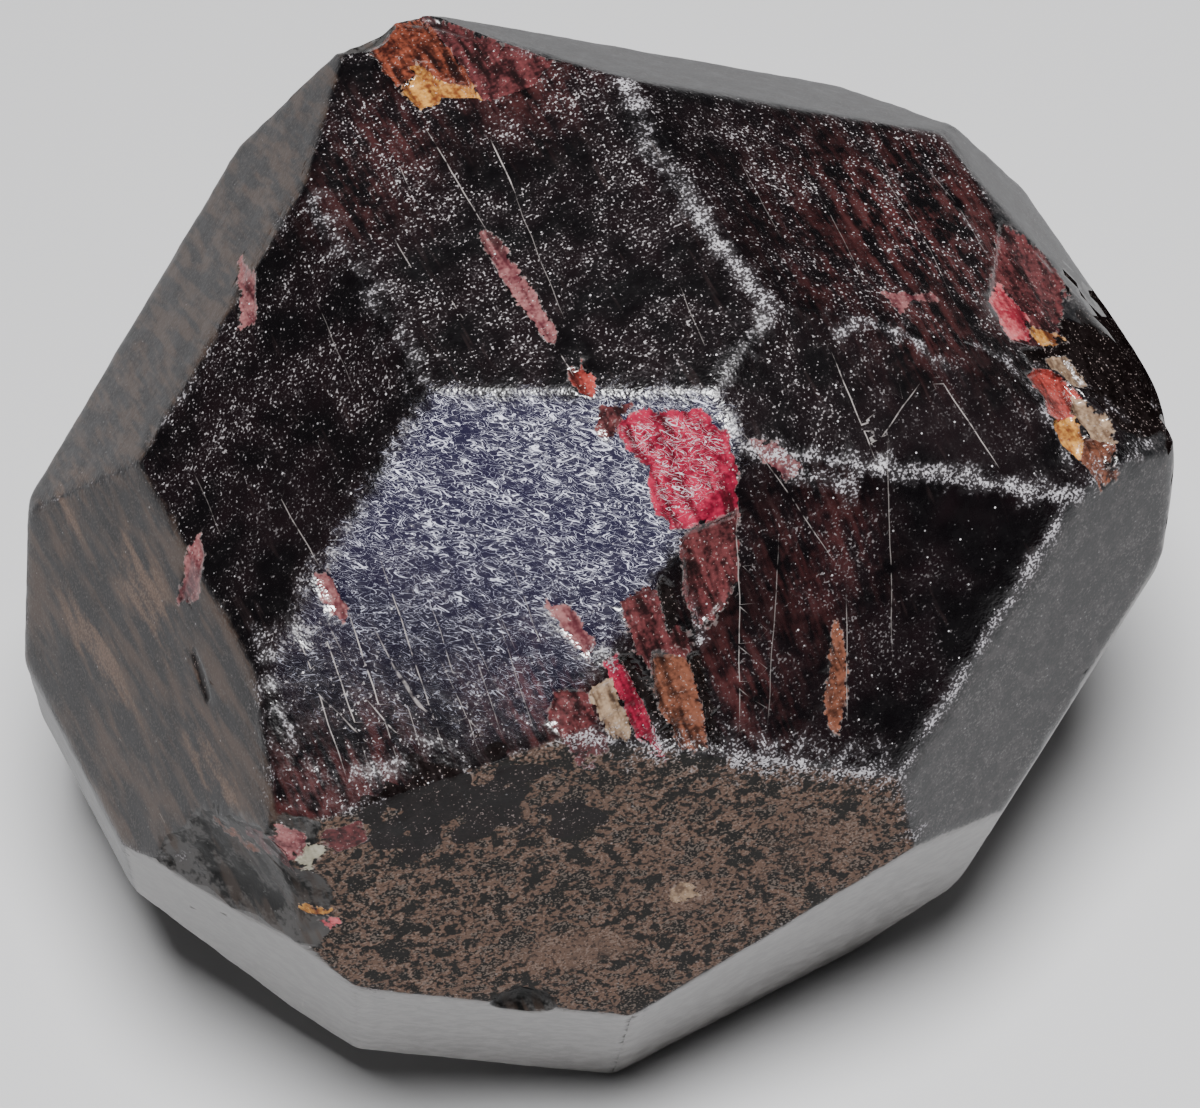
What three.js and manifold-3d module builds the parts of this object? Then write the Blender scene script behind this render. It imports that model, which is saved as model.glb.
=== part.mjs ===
// A single loose garnet crystal, 39 mm across, lying on one of its own flat faces.
//
// Garnet is cubic, and grows as two forms together: the rhombic dodecahedron, whose twelve
// faces are {110}, and the trapezohedron, whose twenty-four faces are {211}. The angles
// between such faces are the same on every garnet. What differs from crystal to crystal is
// how far each face grew out from the middle, so those distances are the driving dimensions.
//
// Millimetres, +Z up. The crystal lies on its (-1 -1 -2) face, so +Z is the direction
// [1 1 2]. +X is [-1 1 0] and +Y is [-1 -1 1]. The origin is under the middle, on the table.

import * as THREE from 'three';
import { mergeVertices } from 'three/addons/utils/BufferGeometryUtils.js';
import Module from 'manifold-3d';

// Each face: its Miller indices, then its distance from the middle of the crystal in mm.
const DODECAHEDRON_FACES = [
  [1, 1, 0, 17.7],
  [1, 0, 1, 18.3],
  [0, 1, 1, 19.3],
  [1, -1, 0, 19.9],
  [1, 0, -1, 17.2],
  [0, 1, -1, 17.9],
  [-1, 1, 0, 19.2],
  [-1, 0, 1, 16.3],
  [0, -1, 1, 17.5],
  [-1, -1, 0, 18.6],
  [-1, 0, -1, 18.6],
  [0, -1, -1, 18.6],
];

const TRAPEZOHEDRON_FACES = [
  [1, 1, 2, 18.4],
  [1, 2, 1, 19.9],
  [2, 1, 1, 17.9],
  [1, -1, 2, 18.3],
  [1, 2, -1, 18.5],
  [2, -1, 1, 18.5],
  [2, 1, -1, 16.1],
  [-1, 1, 2, 18.6],
  [-1, 2, 1, 20.7],
  [1, 1, -2, 16.1],
  [1, -2, 1, 20.0],
  [2, -1, -1, 18.6],
  [-1, -1, 2, 17.2],
  [-2, 1, 1, 18.3],
  [-1, 2, -1, 19.9],
  [1, -1, -2, 20.7],
  [1, -2, -1, 20.2],
  [-1, 1, -2, 19.4],
  [-1, -2, 1, 18.6],
  [-2, 1, -1, 18.6],
  [-2, -1, 1, 18.6],
  [-2, -1, -1, 18.6],
  [-1, -2, -1, 18.6],
  [-1, -1, -2, 17.8],
];

// The block that the faces are cut from only has to be larger than the crystal.
const BLOCK_SIZE = 70;

// Garnet has no cleavage. A knocked corner leaves a shallow, shell-shaped hollow instead.
// Each hollow: a point on the crystal measured from its middle, the way that the spot
// looks, the radius of the hollow's curve and how deep it bites, all in mm.
const CHIPS = [
  // the long flake off the lower left edge, and the smaller break above it
  { at: [-17.4, -9.4, 4.9], looks: [-0.79, -0.59, 0.16], radius: 16, depth: 0.95 },
  { at: [-15.0, -10.8, 9.4], looks: [-0.55, -0.68, 0.48], radius: 6, depth: 0.5 },
  // the notch and the broken back corner of the top face
  { at: [0.3, 11.5, 18.3], looks: [-0.35, 0.7, 0.62], radius: 1.8, depth: 0.45 },
  { at: [1.8, 10.0, 18.4], looks: [0.08, 0.3, 0.95], radius: 7, depth: 0.35 },
  // two breaks beside the right-hand corner
  { at: [14.9, -11.2, 12.4], looks: [0.42, -0.5, 0.75], radius: 4, depth: 0.5 },
  { at: [16.4, -6.3, 12.8], looks: [0.62, -0.05, 0.78], radius: 6, depth: 0.4 },
];

const CHIP_FACETS = 9;

const GARNET = new THREE.MeshStandardMaterial({
  color: 0x241a1f,
  roughness: 0.35,
  metalness: 0.0,
  flatShading: true,
});

// Turns a direction in the crystal's own cubic axes into the resting frame above.
const CUBIC_TO_RESTING = new THREE.Matrix3();
CUBIC_TO_RESTING.set(
  -1 / Math.SQRT2, 1 / Math.SQRT2, 0,
  -1 / Math.sqrt(3), -1 / Math.sqrt(3), 1 / Math.sqrt(3),
  1 / Math.sqrt(6), 1 / Math.sqrt(6), 2 / Math.sqrt(6),
);

const wasm = await Module();
wasm.setup();

function solidFrom(geometry) {
  const bare = geometry.clone();
  bare.deleteAttribute('normal');
  bare.deleteAttribute('uv');
  const merged = mergeVertices(bare);
  return new wasm.Manifold(new wasm.Mesh({
    numProp: 3,
    vertProperties: merged.attributes.position.array,
    triVerts: Uint32Array.from(merged.index.array),
  }));
}

function geometryFrom(solid) {
  const mesh = solid.getMesh();
  const geometry = new THREE.BufferGeometry();
  geometry.setAttribute('position', new THREE.BufferAttribute(mesh.vertProperties, 3));
  geometry.setIndex(new THREE.BufferAttribute(mesh.triVerts, 1));
  return geometry;
}

// Cuts away all of the block that lies further out than each face.
function growCrystal() {
  let crystal = solidFrom(new THREE.BoxGeometry(BLOCK_SIZE, BLOCK_SIZE, BLOCK_SIZE));
  for (const [h, k, l, distance] of [...DODECAHEDRON_FACES, ...TRAPEZOHEDRON_FACES]) {
    const inward = new THREE.Vector3(h, k, l).applyMatrix3(CUBIC_TO_RESTING).normalize().negate();
    crystal = crystal.trimByPlane(inward.toArray(), -distance);
  }
  return crystal;
}

// The hollow is the bottom of a ball that just dips into the crystal.
function chipTool({ at, looks, radius, depth }) {
  const outward = new THREE.Vector3(...looks).normalize();
  const middle = new THREE.Vector3(...at).addScaledVector(outward, radius - depth);
  const ball = new THREE.IcosahedronGeometry(radius, CHIP_FACETS);
  ball.translate(middle.x, middle.y, middle.z);
  return solidFrom(ball);
}

let crystal = growCrystal();
for (const chip of CHIPS) {
  crystal = crystal.subtract(chipTool(chip));
}

const garnet = new THREE.Mesh(geometryFrom(crystal), GARNET);
garnet.name = 'garnet_crystal';

// Stand the crystal on the table with its middle over the origin.
const extent = new THREE.Box3().setFromObject(garnet);
const middle = extent.getCenter(new THREE.Vector3());
garnet.position.set(-middle.x, -middle.y, -extent.min.z);

const part = new THREE.Group();
part.add(garnet);

export default part;
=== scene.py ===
import math

import bpy
import numpy as np
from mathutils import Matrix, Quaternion, Vector, noise


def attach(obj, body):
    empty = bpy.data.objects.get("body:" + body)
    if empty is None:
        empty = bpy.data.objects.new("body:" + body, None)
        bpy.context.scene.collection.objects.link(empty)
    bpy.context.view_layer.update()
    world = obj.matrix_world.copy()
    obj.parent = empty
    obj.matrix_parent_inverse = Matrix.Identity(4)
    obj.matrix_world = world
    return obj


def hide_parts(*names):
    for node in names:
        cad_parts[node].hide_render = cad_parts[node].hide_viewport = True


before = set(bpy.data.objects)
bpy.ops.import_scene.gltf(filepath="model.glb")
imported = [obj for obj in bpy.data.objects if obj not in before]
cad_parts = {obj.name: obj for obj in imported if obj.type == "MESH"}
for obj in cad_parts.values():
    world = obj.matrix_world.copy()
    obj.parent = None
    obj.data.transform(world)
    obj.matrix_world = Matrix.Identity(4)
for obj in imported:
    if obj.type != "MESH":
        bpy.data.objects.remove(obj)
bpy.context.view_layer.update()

MM = 0.001

# ---------------------------------------------------------------------------------------
# The table, the light and the view: the crystal lies on a pale matt table. One soft lamp
# hangs above it, near the line of sight, so the shadow stays close under the crystal.
# ---------------------------------------------------------------------------------------

TABLE_SIZE = 3.0
TABLE_COLOUR = (0.66, 0.66, 0.67, 1.0)

VIEW_TARGET = Vector((0.9, -0.9, 17.7)) * MM
VIEW_DISTANCE = 183 * MM
VIEW_AZIMUTH = math.radians(-16.3)
VIEW_ELEVATION = math.radians(58.3)
VIEW_ROLL = math.radians(-12.5)
VIEW_LENS = 150.3

LAMP_AZIMUTH = math.radians(-3)
LAMP_ELEVATION = math.radians(76)
LAMP_DISTANCE = 0.28
LAMP_SIZE = 0.08
LAMP_POWER = 1.75
ROOM_LIGHT = 0.045


def towards(azimuth, elevation):
    """The way from the crystal to something seen at that azimuth and elevation."""
    level = math.cos(elevation)
    return Vector((
        math.sin(azimuth) * level,
        -math.cos(azimuth) * level,
        math.sin(elevation),
    ))


def facing(direction):
    return (-direction).to_track_quat("-Z", "Y")


table_finish = bpy.data.materials.new("table_finish")
table_finish.use_nodes = True
table_shader = table_finish.node_tree.nodes["Principled BSDF"]
table_shader.inputs["Base Color"].default_value = TABLE_COLOUR
table_shader.inputs["Roughness"].default_value = 0.85
table_shader.inputs["Specular IOR Level"].default_value = 0.2

bpy.ops.mesh.primitive_plane_add(size=TABLE_SIZE, location=(0, 0, 0))
table = bpy.context.active_object
table.name = "table"
table.data.materials.append(table_finish)

camera_data = bpy.data.cameras.new("camera")
camera_data.lens = VIEW_LENS
camera_data.clip_start = 0.01
camera = bpy.data.objects.new("camera", camera_data)
sight = towards(VIEW_AZIMUTH, VIEW_ELEVATION)
camera.location = VIEW_TARGET + sight * VIEW_DISTANCE
camera.rotation_mode = "QUATERNION"
camera.rotation_quaternion = facing(sight) @ Quaternion((0, 0, 1), VIEW_ROLL)
bpy.context.scene.collection.objects.link(camera)
bpy.context.scene.camera = camera

lamp_data = bpy.data.lights.new("lamp", "AREA")
lamp_data.shape = "DISK"
lamp_data.size = LAMP_SIZE
lamp_data.energy = LAMP_POWER
lamp = bpy.data.objects.new("lamp", lamp_data)
lamp_way = towards(LAMP_AZIMUTH, LAMP_ELEVATION)
lamp.location = VIEW_TARGET + lamp_way * LAMP_DISTANCE
lamp.rotation_mode = "QUATERNION"
lamp.rotation_quaternion = facing(lamp_way)
bpy.context.scene.collection.objects.link(lamp)

room = bpy.data.worlds.new("room")
room.use_nodes = True
room.node_tree.nodes["Background"].inputs["Color"].default_value = (1, 1, 1, 1)
room.node_tree.nodes["Background"].inputs["Strength"].default_value = ROOM_LIGHT
bpy.context.scene.world = room

# ---------------------------------------------------------------------------------------
# The crystal: one iron-rich garnet, grown whole in the rock and worn since. Its flat faces
# are its growth faces, at fixed angles. Thin cracks run through it in one direction, its
# edges are rubbed rough, and knocked corners and shards show the red inside.
# ---------------------------------------------------------------------------------------

crystal_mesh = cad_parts["garnet_crystal"].data.copy()
crystal = bpy.data.objects.new("garnet", crystal_mesh)
bpy.context.scene.collection.objects.link(crystal)
bpy.ops.object.select_all(action="DESELECT")
crystal.select_set(True)
bpy.context.view_layer.objects.active = crystal
bpy.ops.mesh.customdata_custom_splitnormals_clear()
bpy.ops.object.mode_set(mode="EDIT")
bpy.ops.mesh.select_all(action="SELECT")
SAME_POINT = 0.002 * MM
SAME_FLAT = math.radians(0.5)
bpy.ops.mesh.remove_doubles(threshold=SAME_POINT)
bpy.ops.mesh.dissolve_limited(angle_limit=SAME_FLAT)
bpy.ops.object.mode_set(mode="OBJECT")

# The growth faces are read off the solid: each one's outward direction and its distance.
SMALLEST_FACE = 8 * MM * MM
grown = [p for p in crystal_mesh.polygons if p.area > SMALLEST_FACE]
face_ways = np.array([p.normal for p in grown])
face_reach = np.array([p.normal.dot(p.center) for p in grown]) / MM


def growth_face(h, k, l):
    """Which growth face has these Miller indices."""
    way = Vector((k - h, (l - h - k) * math.sqrt(2 / 3), (h + k + 2 * l) / math.sqrt(3)))
    return int((face_ways @ np.array(way.normalized())).argmax())


TOP = growth_face(1, 1, 2)
SILVER = growth_face(2, 1, 1)
RIGHT_SMALL = growth_face(1, 2, 1)
RIGHT_UPPER = growth_face(0, 1, 1)
RIGHT_LOWER = growth_face(1, 1, 0)
LEFT = growth_face(1, 0, 1)
FAR_LEFT = growth_face(2, -1, 1)
LEFT_BACK = growth_face(1, -1, 2)
FRONT = growth_face(2, 1, -1)
FRONT_RIGHT = growth_face(1, 2, -1)
BACK = growth_face(-1, 1, 2)
BACK_RIGHT = growth_face(-1, 2, 1)

# Where two growth faces meet: how rough the edge is, and how wide the rough band is in mm.
ROUGH_EDGES = {
    (TOP, RIGHT_UPPER): (0.45, 0.3),
    (TOP, RIGHT_SMALL): (0.70, 0.8),
    (TOP, SILVER): (0.20, 0.6),
    (TOP, LEFT): (0.58, 1.2),
    (SILVER, LEFT): (0.45, 1.0),
    (SILVER, RIGHT_SMALL): (0.60, 0.4),
    (SILVER, FRONT): (0.55, 0.5),
    (SILVER, FAR_LEFT): (0.60, 0.8),
    (RIGHT_LOWER, RIGHT_SMALL): (0.95, 0.60),
    (RIGHT_LOWER, FRONT_RIGHT): (0.95, 0.55),
    (RIGHT_LOWER, FRONT): (0.82, 1.5),
    (FRONT, FRONT_RIGHT): (0.70, 0.7),
    (LEFT, LEFT_BACK): (0.55, 0.6),
    (LEFT, FAR_LEFT): (0.35, 0.3),
    (RIGHT_UPPER, RIGHT_SMALL): (0.55, 0.4),
    (RIGHT_UPPER, BACK): (0.35, 0.2),
    (RIGHT_UPPER, BACK_RIGHT): (0.50, 0.4),
    (RIGHT_SMALL, FRONT_RIGHT): (0.85, 0.8),
    (RIGHT_SMALL, BACK_RIGHT): (0.60, 0.6),
}
OTHER_EDGES = (0.46, 0.3)

# Rough pale lines that cross the faces: plan-view points in mm, then roughness and width.
ROUGH_LINES = [
    ([(7.0, 4.4), (6.5, 1.7), (6.4, 0.5), (6.6, -0.6), (6.6, -3.4), (6.9, -6.2)], 0.90, 0.6),
    ([(8.6, -7.6), (9.6, -7.3), (11.0, -8.3), (11.5, -9.4)], 0.85, 0.35),
    ([(13.2, -8.6), (14.2, -9.4), (14.3, -11.0), (14.1, -13.0)], 0.85, 0.35),
    ([(15.4, -0.6), (15.6, -3.2), (15.9, -5.4)], 0.75, 0.22),
    ([(14.0, 1.6), (14.2, -2.4)], 0.6, 0.25),
    ([(5.0, -10.9), (5.8, -11.3), (6.7, -11.9)], 0.95, 0.45),
    ([(-12.7, -5.4), (-13.2, -7.6), (-13.3, -9.6)], 0.75, 0.5),
    ([(-12.8, -10.3), (-11.6, -11.2), (-9.0, -12.1)], 0.6, 0.7),
    ([(-11.6, -6.0), (-11.4, -7.0)], 0.8, 0.4),
    ([(0.3, -12.6), (0.0, -13.3)], 0.95, 0.3),
    ([(0.6, -6.3), (1.4, -6.6), (3.0, -7.6)], 0.5, 0.5),
    ([(-3.4, -12.2), (-2.9, -12.9)], 0.85, 0.4),
]

# Broken and coloured places. Each has a kind, the way that it looks, its depth in mm, how
# the depth changes for each mm across (x, y), and its outline seen from above in mm.
BREAKS = [
    # This crimson patch is partly the garnet's own red and partly red light reflected inside at a crack,
    # painted in as colour.
    ("crimson", (-0.3, -0.5, 0.8), 0.02, (0, 0), [
        (0.5, -7.3), (1.6, -7.6), (3.0, -8.4), (3.5, -9.4), (3.3, -10.4), (2.8, -11.2),
        (1.7, -11.1), (0.8, -10.9), (0.4, -10.2), (0.8, -8.9), (0.5, -8.2)]),
    ("dark_red", (-0.1, -0.7, 0.7), 0.16, (0.03, 0), [
        (0.8, -11.1), (2.8, -11.2), (1.9, -12.5), (1.1, -12.8), (0.2, -13.0), (0.1, -12.3)]),
    ("dark_red", (-0.3, -0.5, 0.8), 0.05, (0, 0), [
        (-0.1, -7.1), (0.3, -6.7), (1.3, -7.1), (0.6, -7.3), (0.1, -7.7)]),
    ("pink", (-0.3, -0.5, 0.8), 0.05, (0, 0), [
        (-4.0, -10.3), (-3.4, -10.9), (-3.2, -12.1), (-3.6, -12.4), (-4.0, -11.2)]),
    ("dark_red", (-0.2, -0.6, 0.7), 0.12, (0, 0), [
        (-1.9, -11.6), (-0.9, -11.7), (-0.2, -13.2), (-1.5, -13.9), (-2.1, -12.9)]),
    ("crimson", (0.1, -0.7, 0.7), 0.20, (0.20, 0), [
        (-3.2, -12.7), (-2.8, -12.8), (-2.5, -13.4), (-2.4, -14.0), (-2.6, -15.0),
        (-3.2, -14.5), (-3.2, -13.4)]),
    ("black", (0.1, -0.7, 0.7), 0.42, (-0.1, 0), [
        (-2.7, -12.8), (-2.3, -12.9), (-1.9, -14.0), (-1.9, -15.0), (-2.6, -15.0),
        (-2.5, -13.9)]),
    ("tan", (-0.2, -0.6, 0.7), 0.10, (0.1, 0), [
        (-4.0, -13.1), (-3.3, -13.2), (-3.2, -14.2), (-3.6, -14.6), (-4.1, -14.0)]),
    ("brown", (0.1, -0.7, 0.7), 0.26, (-0.25, 0), [
        (-1.6, -13.0), (-0.6, -13.4), (-0.7, -14.5), (-1.2, -15.4), (-1.9, -15.2),
        (-2.0, -13.8)]),
    ("black", (0.1, -0.7, 0.7), 0.35, (0, 0), [
        (-0.6, -13.4), (-0.2, -13.5), (-0.6, -15.6), (-1.1, -15.5), (-0.7, -14.5)]),
    ("black", (-0.1, -0.7, 0.7), 0.22, (0, 0), [
        (-0.4, -11.6), (-0.1, -12.0), (-0.4, -12.7), (-1.0, -13.0), (-0.8, -12.1)]),
    ("dark_red", (-0.3, -0.5, 0.8), 0.14, (0.05, 0), [
        (-5.0, -12.5), (-4.2, -13.0), (-4.2, -14.4), (-5.3, -14.1), (-5.7, -13.1)]),
    ("pink", (0.2, -0.5, 0.8), 0.10, (0, 0.1), [
        (4.2, -9.9), (4.9, -10.2), (5.4, -11.0), (4.7, -11.0), (4.3, -10.5)]),
    ("brown", (0, -0.8, 0.6), 0.05, (0, 0), [
        (4.5, -14.2), (4.4, -15.0), (3.8, -15.8), (3.1, -16.4), (3.0, -15.9), (3.7, -15.0)]),
    ("pink", (0, 0, 1), 0.07, (0.08, 0), [
        (0.0, 1.5), (0.3, 0.9), (0.35, -1.0), (0.4, -3.2), (0.1, -3.9), (-0.15, -3.2),
        (-0.25, -1.0), (-0.2, 0.8)]),
    ("red", (0, -0.2, 1), 0.12, (0, 0), [
        (0.0, -5.0), (0.3, -5.1), (0.6, -4.8), (0.5, -5.7), (0.3, -6.3), (-0.1, -5.9)]),
    ("rust", (0, 0.3, 1), 0.30, (0.10, 0.02), [
        (0.0, 10.9), (0.2, 8.5), (1.0, 8.6), (1.6, 8.0), (2.5, 7.4), (2.6, 9.0), (2.3, 11.4)]),
    ("orange", (0, 0.3, 1), 0.34, (0.12, 0.02), [
        (0.2, 8.5), (0.4, 7.3), (1.0, 7.1), (1.3, 7.3), (2.4, 6.5), (2.5, 7.5), (1.6, 8.2),
        (1.3, 9.4), (0.9, 9.2), (1.0, 8.5)]),
    ("dark_red", (0, 0.3, 1), 0.28, (-0.12, 0), [
        (2.4, 6.4), (3.1, 6.2), (4.2, 6.0), (5.2, 6.6), (3.9, 8.6), (2.9, 11.0), (2.3, 11.4),
        (2.5, 8.2)]),
    ("black", (0.6, -0.2, 0.8), 0.01, (0, 0), [
        (15.8, -9.4), (16.4, -8.2), (17.4, -7.6), (18.7, -9.0), (19.2, -11.6), (18.0, -12.8),
        (17.0, -12.4), (16.8, -11.0)]),
    ("dark_red", (0.6, 0, 0.8), 0.12, (0, 0), [
        (14.9, -6.9), (15.9, -5.4), (17.0, -3.6), (17.9, -5.0), (17.7, -6.6), (16.9, -8.6),
        (15.9, -8.9), (15.0, -8.6)]),
    ("salmon", (0.6, 0, 0.8), 0.12, (0, 0), [
        (14.9, -6.9), (15.7, -6.2), (16.2, -7.4), (15.8, -8.6), (15.0, -8.4)]),
    ("orange", (0.6, 0, 0.8), 0.12, (0, 0), [
        (16.0, -8.0), (16.9, -8.2), (17.0, -8.8), (16.2, -8.8)]),
    ("black", (0.5, -0.3, 0.8), 0.16, (0, 0), [
        (15.2, -8.9), (16.8, -8.9), (16.4, -9.9), (15.3, -9.8)]),
    ("red", (0.3, -0.5, 0.8), 0.34, (0.10, 0), [
        (14.7, -10.0), (15.6, -9.8), (16.4, -10.3), (16.5, -11.0), (15.6, -11.6),
        (14.7, -11.9), (14.3, -11.5), (14.7, -10.9)]),
    ("orange", (0.3, -0.6, 0.7), 0.46, (-0.25, 0.1), [
        (14.3, -11.8), (15.5, -11.6), (15.2, -12.6), (14.6, -13.3), (14.2, -12.5)]),
    ("tan", (0.6, -0.5, 0.6), 0.40, (-0.15, 0), [
        (15.6, -11.5), (16.3, -10.9), (16.9, -11.9), (16.3, -12.8), (15.4, -12.5)]),
    ("brown", (0.4, -0.7, 0.6), 0.40, (0.15, 0), [
        (15.2, -12.5), (16.2, -12.8), (15.5, -13.7), (14.8, -13.9), (14.6, -13.2)]),
    ("tan", (0.5, -0.2, 0.8), 0.15, (0, 0), [
        (16.0, -9.3), (16.8, -9.4), (17.0, -10.6), (16.5, -10.6), (16.3, -10.1)]),
    ("pink", (0.1, -0.5, 0.8), 0.04, (0, 0), [
        (11.0, -6.4), (12.8, -6.6), (12.8, -6.8), (11.5, -6.9), (11.1, -7.3)]),
    ("pink", (-0.4, -0.3, 0.9), 0.12, (0, 0), [
        (-10.3, -5.6), (-9.9, -5.8), (-9.8, -6.9), (-10.1, -7.3), (-10.4, -6.6)]),
    ("pink", (-0.5, 0, 0.9), 0.10, (0, 0), [
        (-7.2, 6.7), (-7.2, 5.0), (-7.9, 3.6), (-8.5, 3.8), (-7.8, 5.2)]),
    ("pink", (-0.6, 0, 0.8), 0.10, (0, 0), [
        (-12.9, -1.3), (-13.0, -2.0), (-13.8, -2.8), (-14.4, -2.0), (-13.8, -1.7),
        (-13.3, -1.3)]),
    ("black", (-0.7, 0, 0.6), 0.05, (0, 0), [
        (-14.6, -3.7), (-14.7, -4.7), (-14.9, -5.5), (-15.1, -5.4), (-15.0, -4.6), (-14.8, -3.7)]),
]

# Broken places on the steep lower faces: a kind, the middle and the half-sizes in mm.
STEEP_BREAKS = [
    ("pink", (-15.0, -11.0, 27.1), (0.7, 0.7, 0.55)),
    ("dark_red", (-15.7, -10.8, 26.0), (1.6, 1.2, 0.9)),
    ("brown", (-17.0, -9.6, 25.0), (1.3, 1.6, 0.28)),
    ("salmon", (-14.7, -12.5, 22.8), (0.35, 0.5, 0.25)),
    ("beige", (-14.4, -11.7, 26.6), (0.40, 0.6, 0.65)),
    ("dark_red", (-13.2, -11.7, 27.2), (0.8, 0.8, 0.7)),
    ("black", (-9.6, -12.9, 27.6), (3.8, 1.6, 1.8)),
    ("black", (-5.8, -14.3, 25.8), (1.3, 0.9, 0.8)),
    ("black", (19.3, -9.3, 26.5), (3.0, 4.3, 4.0)),
    ("orange", (-15.4, -12.0, 23.4), (0.9, 0.6, 0.30)),
    ("rust", (-16.4, -10.9, 24.9), (0.9, 0.7, 0.25)),
    ("tan", (-3.3, -16.2, 20.4), (0.5, 0.5, 0.45)),
    ("black", (-14.0, -12.6, 17.6), (0.16, 0.4, 2.2)),
    ("black", (-5.6, -16.4, 12.4), (0.12, 0.4, 1.6)),
]
KINDS = sorted({kind for kind, *_ in BREAKS + STEEP_BREAKS})

# Thin cracks, all nearly in one direction: x, the lean of x with y, middle y, half the
# length (mm) and strength.
CRACKS = [
    (0.2, 0.02, 3.9, 2.6, 0.8), (0.05, 0.0, -4.5, 0.8, 0.7), (1.8, 0.12, 3.5, 1.3, 1.0),
    (1.2, 0.15, -0.5, 3.0, 0.4), (-1.25, 0.1, 4.8, 0.7, 0.5), (-2.7, 0.05, 2.0, 0.8, 0.6),
    (-2.1, 0.0, -0.9, 0.6, 0.6), (4.5, 0.15, -5.3, 1.5, 0.4), (-10.0, 0.0, -3.9, 1.7, 0.6),
    (-11.9, 0.17, -8.6, 2.6, 0.8), (-11.1, 0.17, -8.9, 2.2, 0.9), (-10.2, 0.17, -9.3, 2.4, 1.0),
    (-9.4, 0.17, -9.8, 2.2, 0.5), (-8.6, 0.17, -9.2, 3.0, 0.8), (-7.7, 0.17, -10.4, 2.4, 0.5),
    (-6.9, 0.17, -11.0, 1.8, 0.4), (-5.9, 0.17, -11.4, 1.8, 0.4), (-4.6, 0.12, -10.0, 1.4, 0.6),
    (2.4, 0.78, -13.8, 2.0, 0.35),
    (4.6, -0.36, -11.3, 1.9, 0.6), (4.4, 0.64, -15.0, 1.3, 0.5), (1.5, 0.65, -13.2, 2.3, 0.6),
    (7.95, 0.08, -9.9, 1.9, 0.9), (11.45, -0.15, -11.1, 1.7, 0.9), (9.3, 1.67, -10.3, 0.7, 0.6),
    (7.2, 0.6, -13.2, 2.4, 0.4), (15.6, -0.08, -3.0, 2.4, 0.5), (10.8, 0.1, -3.5, 3.2, 0.35),
    (13.6, 0.05, -3.5, 3.8, 0.4), (6.5, 0.05, 0.5, 2.0, 0.3), (-6.1, 0.1, 0.6, 2.2, 0.3),
    (8.9, 0.1, -1.5, 2.0, 0.3), (-12.1, 0.1, -0.5, 1.6, 0.3),
]
FAINT_CRACKS = 60
FAINT_STRENGTH = 0.35

# What is drawn from above lies on the upper faces only: these are heights in mm above the
# table that its points have to pass.
BREAKS_ABOVE = 20
CRACKS_ABOVE = 21
LINES_ABOVE = 22
WARM_ABOVE = 20
FAR_OFF = 9.0

# Soft patches where the body colour turns redder: plan-view middle, width and strength.
WARM_PATCHES = [
    ((14.0, -3.5), 4.0, 0.9), ((4.0, 6.6), 2.2, 0.6), ((-1.0, 6.6), 1.8, 0.5),
    ((12.0, -7.6), 1.8, 0.7), ((0.6, -14.4), 1.5, 0.6), ((5.6, -12.6), 1.2, 0.45),
    ((-11.6, -11.0), 1.6, 0.7), ((-5.6, -12.6), 1.6, 0.8), ((-3.0, 5.0), 1.6, 0.4),
    ((9.6, -5.5), 1.5, 0.5), ((-14.0, -10.8), 1.6, 0.8), ((4.0, -13.0), 1.5, 0.4),
]


def points_of(mesh):
    flat = np.empty(len(mesh.vertices) * 3, np.float32)
    mesh.vertices.foreach_get("co", flat)
    return flat.reshape(-1, 3).astype(float) / MM


def below_faces(points):
    """How far each point lies under each growth face, in mm."""
    return face_reach - points @ face_ways.T


def nearest_edge(points):
    """Each point's own growth face, the face across its nearest edge and how far that is."""
    below = below_faces(points)
    each = np.arange(len(points))
    own = below.argmin(1)
    lean = (face_ways @ face_ways.T)[own]
    slope = np.sqrt(np.clip(1 - lean ** 2, 1e-6, 1))
    along = (below - below[each, own][:, None] * lean) / slope
    along[each, own] = np.inf
    across = along.argmin(1)
    return own, across, along[each, across]


def line_distance(points, start, end):
    start = np.array(start)
    run = np.array(end) - start
    gone = np.clip((points[:, :2] - start) @ run / (run @ run), 0, 1)
    return np.linalg.norm(points[:, :2] - start - gone[:, None] * run, axis=1)


def path_distance(points, path):
    return np.min([line_distance(points, a, b) for a, b in zip(path, path[1:])], axis=0)


def reach_inside(points, outline):
    """How far inside a plan-view outline each point lies; negative outside or underneath."""
    x, y = points[:, 0], points[:, 1]
    inside = np.zeros(len(points), bool)
    for (ax, ay), (bx, by) in zip(outline, outline[1:] + outline[:1]):
        crosses = (ay > y) != (by > y)
        inside ^= crosses & (x < ax + (bx - ax) * (y - ay) / (by - ay + 1e-9))
    away = path_distance(points, outline + outline[:1])
    return np.minimum(np.where(inside, away, -away), (points[:, 2] - BREAKS_ABOVE) / 2)


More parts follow.
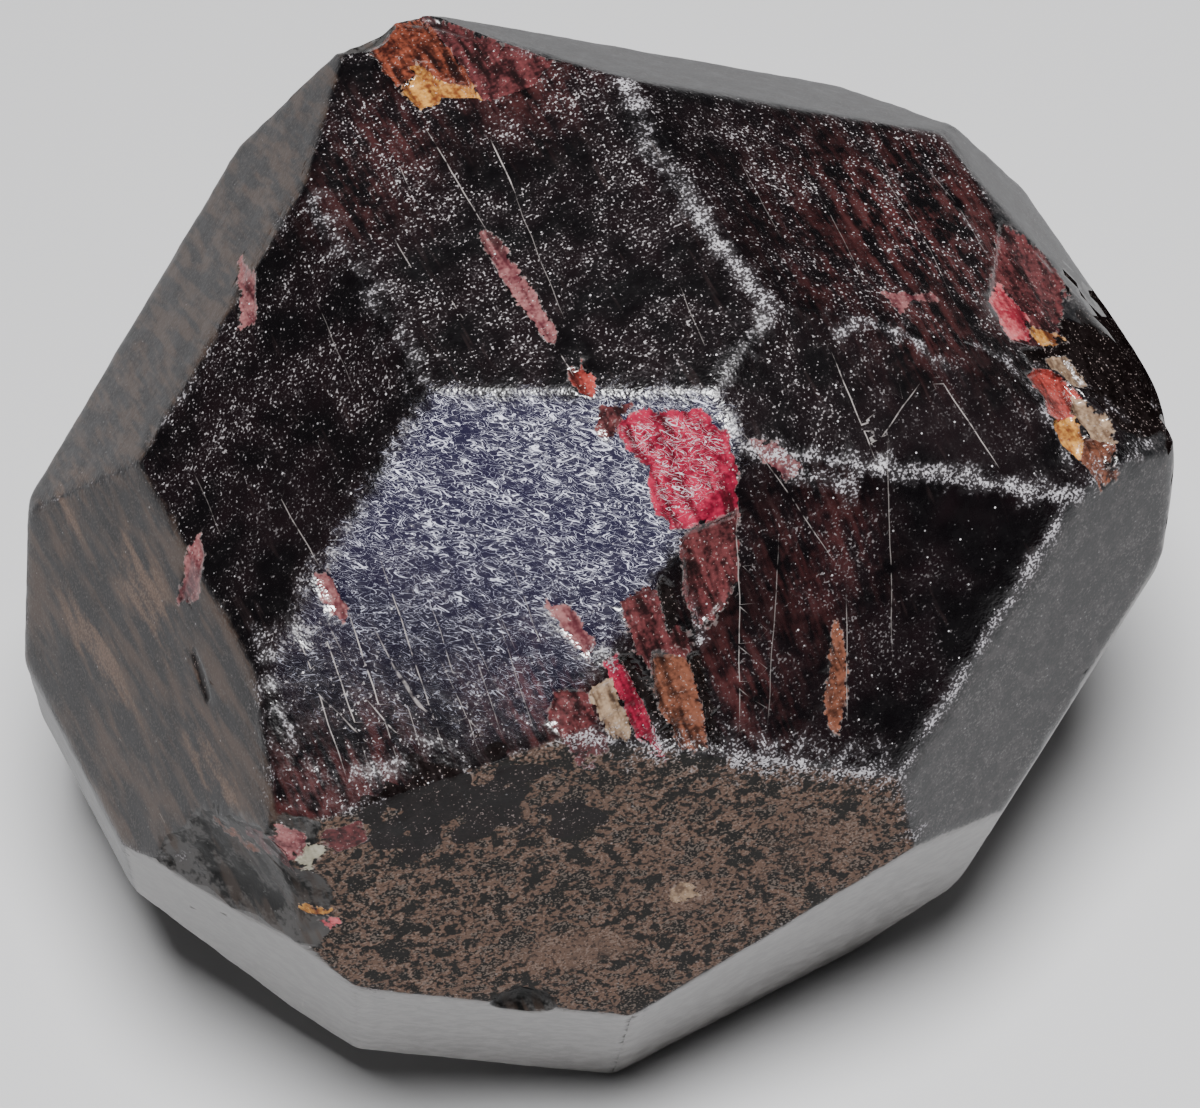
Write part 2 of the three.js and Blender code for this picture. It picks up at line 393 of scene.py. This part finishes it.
def crack_lines(points):
    """Each point's way off its nearest crack, in mm, and how strong that crack is there."""
    chance = np.random.default_rng(5)
    off = np.full(len(points), FAR_OFF)
    strength = np.zeros(len(points))
    for x, lean, middle_y, half_length, crack_strength in CRACKS:
        along = points[:, 1] - middle_y
        away = (points[:, 0] - x - along * lean) / math.hypot(1, lean)
        ending = np.clip((half_length - np.abs(along)) / (0.4 * half_length), 0, 1)
        ending = np.where(points[:, 2] > CRACKS_ABOVE, ending, 0)
        closer = (np.abs(away) < np.abs(off)) & (ending > 0)
        off = np.where(closer, away, off)
        strength = np.where(closer, crack_strength * ending, strength)
    for _ in range(FAINT_CRACKS):
        x, y, z = chance.uniform((-18, -18, 0), (18, 18, 36))
        half_length = chance.uniform(1.5, 5)
        away = points[:, 0] - x
        along = np.hypot(points[:, 1] - y, points[:, 2] - z)
        ending = np.clip((half_length - along) / (0.5 * half_length), 0, 1)
        closer = (np.abs(away) < np.abs(off)) & (ending > 0) & (strength < 0.1)
        off = np.where(closer, away, off)
        strength = np.where(closer, FAINT_STRENGTH * ending, strength)
    return off, strength * np.clip(1.7 - np.abs(off) / 0.10, 0, 1)


# Mesh edge lengths in mm: at breaks and cracks, along rough edges, on plain faces and below.
FINE_MESH = 0.13
EDGE_MESH = 0.26
FLAT_MESH = 0.55
UNDER_MESH = 0.6
DETAIL_ABOVE = 18
SPLIT_OVER = 1.4
MOST_ROUNDS = 16


def wanted_length(points):
    """How long a mesh edge may be at each point: short where there is more to show."""
    own, across, away = nearest_edge(points)
    wanted = np.where(away < 0.8, EDGE_MESH, FLAT_MESH)
    for *_, outline in BREAKS:
        middle = np.mean(outline, axis=0)
        close = np.linalg.norm(points[:, :2] - middle, axis=1) < 4
        close &= points[:, 2] > DETAIL_ABOVE
        if close.any():
            spot = np.flatnonzero(close)
            wanted[spot[reach_inside(points[spot], outline) > -0.15]] = FINE_MESH
    for path, roughness, width in ROUGH_LINES:
        close = (path_distance(points, path) < width) & (points[:, 2] > DETAIL_ABOVE)
        wanted = np.where(close, np.minimum(wanted, EDGE_MESH), wanted)
    off, strength = crack_lines(points)
    wanted = np.where((strength > 0.02) & (wanted > EDGE_MESH), EDGE_MESH, wanted)
    wanted = np.where(strength > 0.3, FINE_MESH, wanted)
    under = face_ways[own, 2] < -0.5
    return np.where(under, np.maximum(wanted * 2, UNDER_MESH), wanted)


def triangles_only():
    bpy.ops.mesh.select_all(action="SELECT")
    bpy.ops.mesh.quads_convert_to_tris(quad_method="BEAUTY", ngon_method="BEAUTY")


bpy.context.tool_settings.mesh_select_mode = (False, True, False)
bpy.ops.object.mode_set(mode="EDIT")
triangles_only()
bpy.ops.object.mode_set(mode="OBJECT")
for _ in range(MOST_ROUNDS):
    points = points_of(crystal_mesh)
    ends = np.empty(len(crystal_mesh.edges) * 2, np.int32)
    crystal_mesh.edges.foreach_get("vertices", ends)
    ends = ends.reshape(-1, 2)
    length = np.linalg.norm(points[ends[:, 0]] - points[ends[:, 1]], axis=1)
    long_edges = length > wanted_length(points[ends].mean(1)) * SPLIT_OVER
    if not long_edges.any():
        break
    crystal_mesh.polygons.foreach_set("select", np.zeros(len(crystal_mesh.polygons), bool))
    crystal_mesh.vertices.foreach_set("select", np.zeros(len(crystal_mesh.vertices), bool))
    crystal_mesh.edges.foreach_set("select", long_edges)
    bpy.ops.object.mode_set(mode="EDIT")
    bpy.ops.mesh.subdivide(number_cuts=1)
    triangles_only()
    bpy.ops.object.mode_set(mode="OBJECT")


def noise_at(points, size, seed=0.0):
    """Smooth noise from -1 to 1, with lumps of about that size in mm."""
    shift = Vector((seed * 17.3, seed * 5.1, seed * 9.7))
    return np.array([noise.noise(Vector(p) / size + shift) for p in points])


# Fill the solid's plain round hollows up to the growth faces; they are broken out afresh.
points = points_of(crystal_mesh)
own_face, other_face, edge_away = nearest_edge(points)
depth = below_faces(points).min(1)
points += face_ways[own_face] * depth[:, None]
own_face, other_face, edge_away = nearest_edge(points)


def keep(name, values):
    """Stores one number for each mesh point, for the finish to read."""
    crystal_mesh.attributes.new(name, "FLOAT", "POINT")
    crystal_mesh.attributes[name].data.foreach_set("value", values.astype(np.float32))


def reach_on(*faces):
    """How far inside the given growth faces each point lies; negative on other faces."""
    on_them = np.isin(own_face, faces)
    below = below_faces(points)[:, list(faces)].min(1)
    return np.where(on_them, edge_away, -below)


def fading(roughness, away, width):
    """Roughness that is full on its line and gone about one and a half widths away."""
    return roughness * (1.15 - np.clip(away / width, 0, 3) * 0.75)


roughness_table = np.full((len(grown), len(grown), 2), OTHER_EDGES)
for (first, second), values in ROUGH_EDGES.items():
    roughness_table[first, second] = values
    roughness_table[second, first] = values
edge_rough, edge_width = roughness_table[own_face, other_face].T
rough = fading(edge_rough, edge_away, edge_width)
for path, roughness, width in ROUGH_LINES:
    away = path_distance(points, path)
    away = np.where(points[:, 2] > LINES_ABOVE, away, FAR_OFF)
    rough = np.maximum(rough, fading(roughness, away, width))
keep("rough", np.clip(rough, 0, 1.2))

warm = np.zeros(len(points))
for middle, width, strength in WARM_PATCHES:
    away = np.linalg.norm(points[:, :2] - np.array(middle), axis=1)
    warm = np.maximum(warm, strength * np.exp(-(away / width) ** 2))
keep("warm", np.where(points[:, 2] > WARM_ABOVE, warm, 0))

# The etching on the silvery face fades out towards its lower left.
FROST_START = np.array([-9.9, -5.9])
FROST_WAY = np.array([0.64, 0.77])
frost = (points[:, :2] - FROST_START) @ FROST_WAY
keep("frost", np.clip((frost + 4.5) / 7.5, 0, 1) * np.clip(reach_on(SILVER) + 1, 0, 1))
crack_off, crack_strength = crack_lines(points)
keep("crack_off", crack_off)
keep("crack_strength", crack_strength)
keep("on_silver", reach_on(SILVER))
keep("under", (face_ways[own_face, 2] < -0.1).astype(float))
# Earth caught on the outer faces: middle, half-sizes in mm and strength.
EARTH_PATCHES = [
    ((-15.2, -0.3, 28.0), (1.2, 3.5, 1.8), 0.85), ((-17.3, 1.0, 24.2), (0.9, 3.6, 1.3), 0.85),
    ((-15.8, 5.4, 26.4), (2.0, 2.5, 2.0), 0.5), ((-16.0, -7.0, 26.5), (1.2, 3.6, 1.6), 0.7),
    ((-3.2, -16.2, 20.3), (0.9, 1.0, 0.9), 1.1), ((-7.0, -15.0, 18.5), (3.5, 2.0, 1.6), 0.7),
    ((2.0, -17.0, 21.5), (3.5, 2.0, 3.0), 0.5),
]
earth = np.zeros(len(points))
for middle, size, strength in EARTH_PATCHES:
    away = np.linalg.norm((points - np.array(middle)) / np.array(size), axis=1)
    earth = np.maximum(earth, strength * np.exp(-away ** 2))
keep("earth", earth)
keep("on_front", reach_on(FRONT))
keep("on_left", reach_on(FAR_LEFT, LEFT_BACK))
# How dusty each dark face is, and the spots that are cleaner or dustier than that.
DUST = {TOP: 0.65, LEFT: 0.50, RIGHT_UPPER: 0.50, RIGHT_SMALL: 0.26, RIGHT_LOWER: 0.16}
DUST_PATCHES = [
    ((-10.5, -3.5), 3.0, -0.35), ((-3.0, 8.5), 3.5, 0.2), ((13.5, -2.0), 4.0, 1.0),
    ((6.5, -8.2), 1.8, 0.45), ((10.5, -12.0), 2.5, -0.25), ((4.6, -2.5), 2.0, -0.2),
    ((5.2, -12.5), 2.4, 0.1), ((-11.5, -10.5), 2.5, 0.5),
]
dust = np.array([DUST.get(face, 0.3) for face in range(len(grown))])[own_face]
for middle, width, strength in DUST_PATCHES:
    away = np.linalg.norm(points[:, :2] - np.array(middle), axis=1)
    dust = dust + strength * np.exp(-(away / width) ** 2)
keep("dust", np.clip(dust, 0, 1.2))
DARK_FACES = (TOP, SILVER, RIGHT_SMALL, RIGHT_UPPER, RIGHT_LOWER, LEFT)
keep("on_dark", reach_on(*DARK_FACES))

push = np.zeros_like(points)
fields = {kind: np.full(len(points), -1.0) for kind in KINDS}
for kind, looks, break_depth, (tilt_x, tilt_y), outline in BREAKS:
    reach = reach_inside(points, outline)
    middle = np.mean(outline, axis=0)
    for other in KINDS:
        fields[other] = np.where(reach > 0, np.minimum(fields[other], -reach), fields[other])
    fields[kind] = np.maximum(fields[kind], np.clip(reach, -1, 1))
    lift = (points[:, 0] - middle[0]) * tilt_x + (points[:, 1] - middle[1]) * tilt_y
    wall = np.clip(reach / 0.12 + 0.3, 0, 1)
    deep = np.clip(break_depth + lift, 0.01, 0.8) * wall
    inward = -np.array(Vector(looks).normalized())
    deeper = deep > np.linalg.norm(push, axis=1)
    push = np.where(deeper[:, None], deep[:, None] * inward, push)
ragged_way = np.stack([noise_at(points, 0.9, 11), noise_at(points, 0.7, 12)]).T @ [[1, 0, 1], [0, 1, 1]]
for kind, middle, half_size in STEEP_BREAKS:
    offset = points - np.array(middle) + ragged_way * min(half_size) * 0.8
    away = np.linalg.norm(offset / np.array(half_size), axis=1)
    fields[kind] = np.maximum(fields[kind], np.clip((1 - away) * min(half_size), -1, 1))
for kind in KINDS:
    keep(kind, fields[kind])


def rubbed(points, sharpness, rounds=3):
    """Rounds the edges where growth faces meet; a high sharpness leaves a narrow edge."""
    for _ in range(rounds):
        out = -below_faces(points)
        most = out.max(1)
        pull = np.exp(sharpness[:, None] * (out - most[:, None]))
        total = pull.sum(1)
        over = most + np.log(total) / sharpness
        way = pull @ face_ways / total[:, None]
        step = np.clip(over, 0, None) / (way ** 2).sum(1)
        points = points - way * step[:, None]
    return points


hollow = np.full(len(points), -1.0)


def scooped(points, spot, looks, radius, depth, ring_from, ring_gap):
    """Breaks out a shell-shaped hollow: a ball's surface with ripples ringing one spot."""
    looks = np.array(Vector(looks).normalized())
    middle = np.array(spot) + looks * (radius - depth)
    away = points - middle
    length = np.linalg.norm(away, axis=1)
    rings = np.linalg.norm(points - np.array(ring_from), axis=1) / ring_gap
    ripple = 0.05 * np.sin(rings * 2 * math.pi) + 0.16 * noise_at(points, 1.6, 7)
    ripple += 0.06 * noise_at(points, 0.5, 8)
    wanted = radius + ripple
    inside = np.clip(wanted - length, -1, 1)
    hollow[:] = np.maximum(hollow, inside)
    moved = middle + away * (wanted / length)[:, None]
    return np.where((inside > 0)[:, None], moved, points)


# The right-hand corner is broken off flat.
CORNER_WAY = np.array(Vector((0.60, -0.15, 0.785)).normalized())
CORNER_REACH = 34.35
CORNER_MIDDLE = (19.0, -11.0, 26.5)

unbroken = points.copy()
wear = noise_at(points, 3.0, 1)
sharpness = (24 - 14 * edge_rough) * np.exp(0.5 * wear)
near_corner = np.exp(-(np.linalg.norm(points - np.array(CORNER_MIDDLE), axis=1) / 5) ** 2)
sharpness = sharpness * (1 - near_corner) + 1.0 * near_corner
points = rubbed(points, sharpness, 5)
uneven = 0.5 * noise_at(points, 0.45, 2) + 0.5 * noise_at(points, 0.9, 3)
outward = face_ways[own_face]
points += outward * (np.clip(rough, 0, 1) * (uneven - 0.45) * 0.12)[:, None]
corner_over = points @ CORNER_WAY - CORNER_REACH
points -= CORNER_WAY * np.clip(corner_over, 0, None)[:, None]
points += outward * (0.02 * noise_at(points, 2.2, 4))[:, None]
front_lumps = np.where(own_face == FRONT, 0.06 * noise_at(points, 1.1, 5), 0)
points += outward * front_lumps[:, None]
points += push

# Shell-shaped hollows: the spot, the way that it looks, the radius, the depth, what the
# ripples ring and the gap between them, all in mm.
HOLLOWS = [
    ((-17.6, -8.4, 22.7), (-0.8, -0.5, 0.3), 11, 0.75, (-18.3, -4.6, 25), 0.9),
    ((-15.3, -11.9, 23.6), (-0.6, -0.8, 0.2), 6, 0.45, (-17, -8, 26), 0.7),
    ((-14.7, -11.5, 27.2), (-0.5, -0.7, 0.5), 5, 0.25, (-14.5, -10.6, 28.6), 0.6),
    ((0.6, 10.9, 36.1), (-0.3, 0.7, 0.6), 1.8, 0.45, (0.5, 11.0, 36.0), 0.6),
    ((-9.3, -14.5, 16.0), (-0.4, -0.9, 0), 1.2, 0.2, (-9, -14, 17), 0.4),
]
for hollow_values in HOLLOWS:
    points = scooped(points, *hollow_values)
keep("hollow", hollow)

crystal_mesh.vertices.foreach_set("co", (points * MM).astype(np.float32).ravel())
crystal_mesh.update()
bpy.ops.object.select_all(action="DESELECT")
crystal.select_set(True)
bpy.context.view_layer.objects.active = crystal
bpy.ops.object.shade_smooth()

garnet_finish = bpy.data.materials.new("garnet_finish")
garnet_finish.use_nodes = True
tree = garnet_finish.node_tree
garnet_shader = tree.nodes["Principled BSDF"]


def feed(socket, value):
    if isinstance(value, bpy.types.NodeSocket):
        tree.links.new(value, socket)
    else:
        socket.default_value = value


def maths(operation, first, second=0.0):
    step = tree.nodes.new("ShaderNodeMath")
    step.operation = operation
    feed(step.inputs[0], first)
    feed(step.inputs[1], second)
    return step.outputs[0]


def plus(first, second):
    return maths("ADD", first, second)


def times(first, second):
    return maths("MULTIPLY", first, second)


def rise(value, low, high):
    """0 up to low, 1 from high on and a smooth climb between; it falls if low is higher."""
    step = tree.nodes.new("ShaderNodeMapRange")
    step.interpolation_type = "SMOOTHSTEP"
    feed(step.inputs["Value"], value)
    step.inputs["From Min"].default_value = low
    step.inputs["From Max"].default_value = high
    return step.outputs["Result"]


def between(value, at_none, at_full):
    """Turns 0 to 1 into a run from one number to another."""
    return plus(times(value, at_full - at_none), at_none)


def stored(name):
    step = tree.nodes.new("ShaderNodeAttribute")
    step.attribute_name = name
    return step.outputs["Fac"]


def grain(where, scale, detail=2.0, rough_share=0.5, twist=0.0):
    """Noise from 0 to 1, with that many lumps in each mm."""
    step = tree.nodes.new("ShaderNodeTexNoise")
    feed(step.inputs["Vector"], where)
    step.inputs["Scale"].default_value = scale
    step.inputs["Detail"].default_value = detail
    step.inputs["Roughness"].default_value = rough_share
    step.inputs["Distortion"].default_value = twist
    return step.outputs["Fac"]


def blend(amount, under, over):
    step = tree.nodes.new("ShaderNodeMix")
    step.data_type = "RGBA"
    feed(step.inputs[0], amount)
    feed(step.inputs[6], (*under, 1) if isinstance(under, tuple) else under)
    feed(step.inputs[7], (*over, 1) if isinstance(over, tuple) else over)
    return step.outputs[2]


def stretched(where, x, y, z):
    step = tree.nodes.new("ShaderNodeVectorMath")
    step.operation = "MULTIPLY"
    feed(step.inputs[0], where)
    step.inputs[1].default_value = (x, y, z)
    return step.outputs[0]


coordinates = tree.nodes.new("ShaderNodeTexCoord")
place = stretched(coordinates.outputs["Object"], 1 / MM, 1 / MM, 1 / MM)

# Grain of several sizes, from lumps 2 mm across to specks under 0.1 mm.
lumps = grain(place, 0.50, 1.0, 0.6)
patches = grain(place, 1.7, 2.0, 0.65)
crumbs = grain(place, 6.5, 1.0, 0.6)
streaks = grain(stretched(place, 2.6, 0.32, 0.45), 1.0, 2.0, 0.65)


def measured_along(way, scale):
    step = tree.nodes.new("ShaderNodeVectorMath")
    step.operation = "DOT_PRODUCT"
    feed(step.inputs[0], place)
    step.inputs[1].default_value = Vector(way).normalized() * scale
    return step.outputs["Value"]


def etched_along(down, across):
    """Winding strokes that run one way down the frosted face: 0 along the middle of each."""
    slanted = tree.nodes.new("ShaderNodeCombineXYZ")
    feed(slanted.inputs[0], measured_along(down, 1.7))
    feed(slanted.inputs[1], measured_along(across, 5.2))
    waves = tree.nodes.new("ShaderNodeTexNoise")
    waves.noise_dimensions = "2D"
    feed(waves.inputs["Vector"], slanted.outputs[0])
    waves.inputs["Scale"].default_value = 1.0
    waves.inputs["Detail"].default_value = 1.0
    waves.inputs["Distortion"].default_value = 0.9
    return maths("ABSOLUTE", plus(waves.outputs["Fac"], -0.5))


fine = grain(place, 11.0, 1.0, 0.5)
strokes = etched_along((0.63, -0.78, -0.22), (0.75, 0.46, 0.52))
cross_strokes = etched_along((0.93, -0.38, 0.11), (0.27, 0.81, 0.55))

# Body: nearly black purple, redder in soft patches and along the cracks' direction.
body = blend(rise(lumps, 0.35, 0.7), (0.0015, 0.001, 0.0015), (0.006, 0.003, 0.004))
redness = times(stored("warm"), rise(plus(streaks, times(patches, 0.6)), 0.66, 1.02))
colour = blend(redness, body, (0.085, 0.022, 0.022))
faint_streaks = times(rise(streaks, 0.60, 0.78), 0.35)
colour = blend(faint_streaks, colour, (0.035, 0.022, 0.022))
dusty = plus(fine, times(plus(patches, lumps), 0.35))
bright_dust = rise(plus(dusty, times(crumbs, 0.6)), 1.33, 1.45)
colour = blend(times(rise(dusty, 0.90, 1.10), stored("dust")), colour, (0.065, 0.055, 0.058))
colour = blend(times(bright_dust, stored("dust")), colour, (0.48, 0.45, 0.46))

# Outer faces: satin grey, with brown streaks on the left. The faces that look down get a paler grey, a
# painted reflection of the bright table.
satin = blend(rise(streaks, 0.40, 0.65), (0.010, 0.009, 0.010), (0.050, 0.032, 0.024))
earthy = plus(plus(stored("earth"), times(streaks, 1.5)), times(plus(crumbs, patches), 0.35))
earthy_share = times(rise(earthy, 1.5, 1.95), between(rise(fine, 0.42, 0.58), 0.35, 0.8))
satin = blend(earthy_share, satin, (0.14, 0.085, 0.058))
satin = blend(times(rise(plus(fine, times(patches, 0.4)), 0.72, 0.9), 0.35), satin, (0.10, 0.09, 0.085))
on_left = rise(plus(stored("on_left"), times(patches, 0.5)), 0.15, 0.4)
colour = blend(on_left, colour, satin)
on_rims = rise(plus(stored("on_dark"), times(patches, 0.3)), 0.2, 0.0)
plain = blend(rise(plus(patches, times(fine, 0.5)), 0.6, 0.95), (0.004, 0.004, 0.005), (0.034, 0.031, 0.032))
plain = blend(times(rise(dusty, 0.95, 1.1), 0.25), plain, (0.20, 0.19, 0.19))
# Paler grey on the faces that look down: a painted reflection of the bright table under them.
painted_table_reflection = blend(rise(patches, 0.35, 0.65), (0.11, 0.105, 0.10), (0.20, 0.19, 0.185))
plain = blend(stored("under"), plain, painted_table_reflection)
not_left = maths("SUBTRACT", 1.0, on_left)
colour = blend(times(on_rims, not_left), colour, plain)

# The brown front face: a crumbly brown net around dark glassy patches.
ridge = maths("ABSOLUTE", plus(plus(times(lumps, 0.4), times(patches, 0.6)), -0.5))
net = rise(plus(ridge, times(crumbs, -0.16)), -0.015, -0.075)
net = maths("MAXIMUM", net, rise(plus(stored("earth"), times(patches, 0.8)), 0.75, 1.0))
mottled = blend(net, (0.009, 0.008, 0.007), (0.110, 0.066, 0.048))
paler = rise(plus(fine, times(patches, 0.6)), 0.84, 0.98)
mottled = blend(times(paler, 0.45), mottled, (0.24, 0.185, 0.155))
darker_bits = rise(plus(times(fine, 0.6), crumbs), 0.76, 0.62)
mottled = blend(times(darker_bits, 0.7), mottled, (0.006, 0.005, 0.005))
on_front = rise(plus(stored("on_front"), times(patches, 0.4)), 0.1, 0.35)
colour = blend(on_front, colour, mottled)

# Frosted face: fine etching, with its silver-blue glints painted into the colour as painted highlights.
on_silver = rise(plus(stored("on_silver"), times(plus(patches, lumps), 1.0)), 0.40, 1.95)
frosted = times(on_silver, between(stored("frost"), 0.25, 1.0))
colour = blend(times(rise(frosted, 0.2, 1.0), 0.85), colour, (0.014, 0.012, 0.034))
stroke_room = plus(times(rise(frosted, 0.0, 1.0), between(patches, -0.008, 0.034)), -0.004)
# The silver-blue strokes are painted highlights: glints of the light on the etching, painted into the
# colour.
glint = rise(maths("SUBTRACT", strokes, stroke_room), 0.008, -0.005)
cross_glint = rise(maths("SUBTRACT", cross_strokes, times(stroke_room, 0.7)), 0.006, -0.004)
glint = maths("MAXIMUM", glint, times(cross_glint, 0.85))
glint_share = times(rise(frosted, 0.02, 0.4), times(glint, between(stored("frost"), 0.30, 1.0)))
colour = blend(glint_share, colour, (0.70, 0.70, 0.84))

# Broken places, each kind with a darker and a lighter tone.
TONES = {
    # Crimson is partly the garnet's own red and partly painted red light reflected inside at cracks.
    "crimson": ((0.09, 0.004, 0.012), (0.34, 0.018, 0.050)),
    "red": ((0.10, 0.015, 0.012), (0.38, 0.060, 0.050)),
    "dark_red": ((0.016, 0.006, 0.007), (0.12, 0.032, 0.034)),
    "rust": ((0.025, 0.007, 0.006), (0.22, 0.055, 0.030)),
    "orange": ((0.14, 0.040, 0.015), (0.55, 0.27, 0.06)),
    "brown": ((0.035, 0.014, 0.010), (0.19, 0.070, 0.042)),
    "pink": ((0.075, 0.018, 0.024), (0.26, 0.11, 0.11)),
    "salmon": ((0.22, 0.016, 0.030), (0.55, 0.13, 0.14)),
    "tan": ((0.10, 0.060, 0.040), (0.33, 0.23, 0.15)),
    "beige": ((0.24, 0.22, 0.16), (0.40, 0.38, 0.30)),
    "black": ((0.003, 0.002, 0.002), (0.010, 0.007, 0.007)),
}
ragged = plus(times(patches, 0.60), times(crumbs, 0.22))
tone_mix = plus(plus(times(patches, 0.35), times(crumbs, 0.25)), times(streaks, 0.40))
tone_mix = rise(tone_mix, 0.40, 0.62)
in_shade = rise(plus(times(streaks, 0.6), times(lumps, 0.4)), 0.50, 0.34)
broken = 0.0
outline = 0.0
for kind in KINDS:
    darker, lighter = TONES[kind]
    inside = plus(stored(kind), maths("SUBTRACT", ragged, 0.38))
    cover = rise(inside, -0.02, 0.04)
    shaded = blend(times(in_shade, 0.75), blend(tone_mix, darker, lighter), (0.006, 0.004, 0.004))
    colour = blend(cover, colour, shaded)
    broken = maths("MAXIMUM", broken, cover)
    if kind != "black":
        # A pale line along the rim of each break: a painted highlight.
        painted_rim_highlight = rise(maths("ABSOLUTE", inside), 0.06, 0.01)
        outline = maths("MAXIMUM", outline, painted_rim_highlight)
# Pale pink flecks in the broken places are painted highlights: glints painted into the colour.
inner_glints = times(broken, rise(plus(fine, times(patches, 0.3)), 0.80, 0.90))
colour = blend(times(inner_glints, 0.35), colour, (0.50, 0.40, 0.38))
# White glints over the crimson patch: painted highlights.
over_glint = times(times(frosted, glint), rise(stored("crimson"), 0.0, 0.4))
colour = blend(times(over_glint, 0.9), colour, (0.62, 0.54, 0.60))
in_hollow = rise(plus(stored("hollow"), times(plus(crumbs, patches), 0.05)), 0.04, 0.09)
hollow_light = rise(plus(plus(lumps, times(patches, 0.8)), times(crumbs, 0.4)), 1.0, 1.25)
hollow_tone = blend(hollow_light, (0.003, 0.003, 0.003), (0.060, 0.057, 0.056))
hollow_tone = blend(times(rise(streaks, 0.50, 0.62), 0.5), hollow_tone, (0.05, 0.035, 0.028))
colour = blend(times(in_hollow, maths("SUBTRACT", 1.0, broken)), colour, hollow_tone)

# Thin cracks, and pale outlines to the broken places, painted as highlights along their rims.
bent_off = plus(stored("crack_off"), times(plus(lumps, -0.5), 0.15))
crack_width = plus(times(stored("crack_strength"), 0.012), 0.009)
cracked = rise(maths("DIVIDE", maths("ABSOLUTE", bent_off), crack_width), 1.5, 0.5)
cracked = times(cracked, times(stored("crack_strength"), rise(patches, 0.34, 0.50)))
lines = maths("MAXIMUM", cracked, times(outline, times(rise(crumbs, 0.48, 0.6), 0.22)))
colour = blend(lines, colour, (0.34, 0.31, 0.30))

# White specks, painted glints on tiny pits, and the pale crumbly wear on the edges.
dots = tree.nodes.new("ShaderNodeTexVoronoi")
dots.inputs["Scale"].default_value = 4.0
tree.links.new(place, dots.inputs["Vector"])
dot_pick = tree.nodes.new("ShaderNodeSeparateColor")
tree.links.new(dots.outputs["Color"], dot_pick.inputs[0])
dot_size = maths("SUBTRACT", dots.outputs["Distance"], times(dot_pick.outputs[1], 0.10))
# White specks: painted glints of the light on tiny pits.
specks = times(rise(dot_size, 0.10, 0.02), rise(dot_pick.outputs[0], 0.55, 0.95))
specks = times(specks, rise(plus(patches, times(stored("rough"), 0.35)), 0.40, 0.62))
speck_share = between(on_rims, 1.0, 0.25)
colour = blend(times(specks, speck_share), colour, (0.70, 0.68, 0.70))
worn = rise(plus(stored("rough"), plus(times(patches, 1.5), times(lumps, 0.7))), 1.50, 2.40)
colour = blend(times(worn, 0.6), colour, (0.040, 0.035, 0.038))
bright_crumbs = rise(plus(fine, plus(times(crumbs, 0.25), times(worn, 0.15))), 0.70, 0.84)
colour = blend(times(worn, bright_crumbs), colour, (0.46, 0.44, 0.47))
feed(garnet_shader.inputs["Base Color"], colour)

gloss = between(on_rims, 0.27, 0.42)
gloss = plus(gloss, times(frosted, -0.05))
gloss = plus(gloss, times(on_front, 0.30))
gloss = plus(gloss, times(worn, 0.25))
gloss = plus(gloss, times(plus(patches, -0.5), 0.25))
feed(garnet_shader.inputs["Roughness"], maths("SUBTRACT", gloss, times(broken, 0.10)))

relief = plus(times(stored("rough"), 0.03), plus(times(stored("frost"), 0.01), 0.006))
relief = times(crumbs, relief)
bump = tree.nodes.new("ShaderNodeBump")
bump.inputs["Strength"].default_value = 1.0
bump.inputs["Distance"].default_value = MM
tree.links.new(relief, bump.inputs["Height"])
tree.links.new(bump.outputs["Normal"], garnet_shader.inputs["Normal"])
garnet_shader.inputs["IOR"].default_value = 1.8
garnet_shader.inputs["Specular IOR Level"].default_value = 0.34

# The same finish shines less on the grey outer faces, on the crumbly front face and in the
# hollows, on the deep dark face with the shards, and least on the broken corner.
LESS_SHINE = {"satin_finish": 0.24, "crumbly_finish": 0.10, "deep_finish": 0.20, "dull_finish": 0.0}
SATIN, CRUMBLY, DEEP, DULL = 1, 2, 3, 4
CORNER_FROM_X = 16
crystal_mesh.materials.clear()
crystal_mesh.materials.append(garnet_finish)
for name, shine in LESS_SHINE.items():
    finish = garnet_finish.copy()
    finish.name = name
    finish.node_tree.nodes["Principled BSDF"].inputs["Specular IOR Level"].default_value = shine
    crystal_mesh.materials.append(finish)
corners = np.empty(len(crystal_mesh.polygons) * 3, np.int32)
crystal_mesh.polygons.foreach_get("vertices", corners)
middles = unbroken[corners.reshape(-1, 3)].mean(1)
triangle_face = below_faces(middles).argmin(1)
which = np.zeros(len(middles), np.int32)
in_a_hollow = hollow[corners.reshape(-1, 3)].min(1) > 0
all_black = fields["black"][corners.reshape(-1, 3)].min(1) > 0
which[np.isin(triangle_face, (FAR_LEFT, LEFT_BACK, FRONT_RIGHT))] = SATIN
which[triangle_face == FRONT] = CRUMBLY
which[in_a_hollow | all_black] = CRUMBLY
which[triangle_face == RIGHT_LOWER] = DEEP
which[all_black & (middles[:, 0] > CORNER_FROM_X)] = DULL
crystal_mesh.polygons.foreach_set("material_index", which)

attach(crystal, "root")
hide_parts("garnet_crystal")
